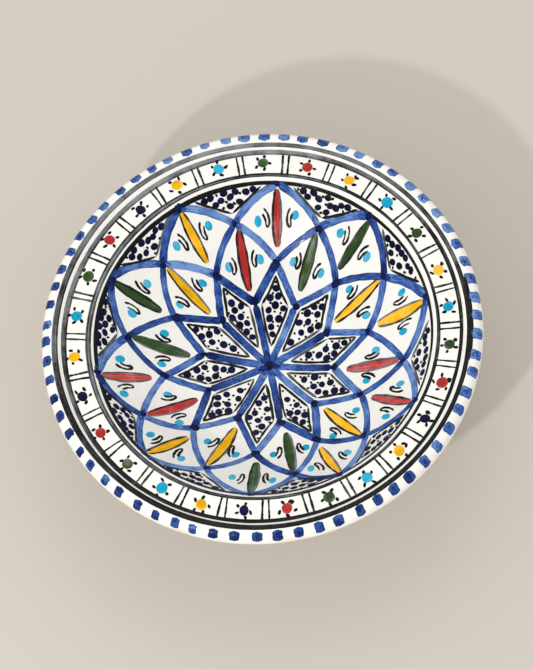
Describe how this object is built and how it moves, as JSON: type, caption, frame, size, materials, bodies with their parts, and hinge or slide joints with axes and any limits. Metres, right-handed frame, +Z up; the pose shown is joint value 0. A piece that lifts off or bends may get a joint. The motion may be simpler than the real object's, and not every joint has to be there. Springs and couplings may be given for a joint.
{
  "type": "serving plate",
  "caption": "Deep round serving plate with a flat flange, rolled lip and foot ring, its face hand painted with a star of blue arcs, leaves and framed flowers.",
  "frame": {"origin": "middle of the foot ring, on the table", "axes": "+Z up along the wheel axis; +X and +Y lie in the table, +Y towards the far side of the plate in the reference view"},
  "size_m": [0.3, 0.3, 0.0811],
  "materials": {
    "fired_clay": "bare turned earthenware, matt",
    "white_glaze": "glossy opaque white glaze",
    "black_paint": "hand brushed colour under a glossy clear glaze",
    "blue_paint": "hand brushed colour under a glossy clear glaze",
    "yellow_paint": "hand brushed colour under a glossy clear glaze",
    "green_paint": "hand brushed colour under a glossy clear glaze",
    "red_paint": "hand brushed colour under a glossy clear glaze",
    "turquoise_paint": "hand brushed colour under a glossy clear glaze",
    "navy_paint": "hand brushed colour under a glossy clear glaze"
  },
  "bodies": {
    "root": {"clay_body": "fired_clay", "face_glaze": "white_glaze", "back_glaze": "white_glaze", "foot_well_glaze": "white_glaze", "lip_line": "black_paint", "well_line": "black_paint", "panel_frame": "black_paint", "blue_star": "blue_paint", "outer_leaf_01": "yellow_paint", "inner_leaf_01": "yellow_paint", "outer_leaf_02": "green_paint", "inner_leaf_02": "green_paint", "outer_leaf_03": "red_paint", "inner_leaf_03": "red_paint", "outer_leaf_04": "yellow_paint", "inner_leaf_04": "yellow_paint", "outer_leaf_05": "green_paint", "inner_leaf_05": "green_paint", "outer_leaf_06": "red_paint", "inner_leaf_06": "red_paint", "outer_leaf_07": "yellow_paint", "inner_leaf_07": "yellow_paint", "outer_leaf_08": "green_paint", "inner_leaf_08": "green_paint", "outer_leaf_09": "yellow_paint", "inner_leaf_09": "yellow_paint", "outer_leaf_10": "red_paint", "inner_leaf_10": "red_paint", "flower_dot_01": "yellow_paint", "flower_dot_02": "green_paint", "flower_dot_03": "turquoise_paint", "flower_dot_04": "yellow_paint", "flower_dot_05": "red_paint", "flower_dot_06": "green_paint", "flower_dot_07": "turquoise_paint", "flower_dot_08": "yellow_paint", "flower_dot_09": "navy_paint", "flower_dot_10": "red_paint", "flower_dot_11": "green_paint", "flower_dot_12": "turquoise_paint", "flower_dot_13": "yellow_paint", "flower_dot_14": "navy_paint", "flower_dot_15": "red_paint", "flower_dot_16": "green_paint", "flower_dot_17": "turquoise_paint", "flower_dot_18": "yellow_paint", "flower_dot_19": "navy_paint", "flower_dot_20": "red_paint", "flower_dot_21": "green_paint", "flower_dot_22": "turquoise_paint", "flower_dot_23": "yellow_paint", "flower_dot_24": "navy_paint", "flower_dot_25": "red_paint", "flower_dot_26": "green_paint", "flower_dot_27": "turquoise_paint"}
  },
  "joints": []
}
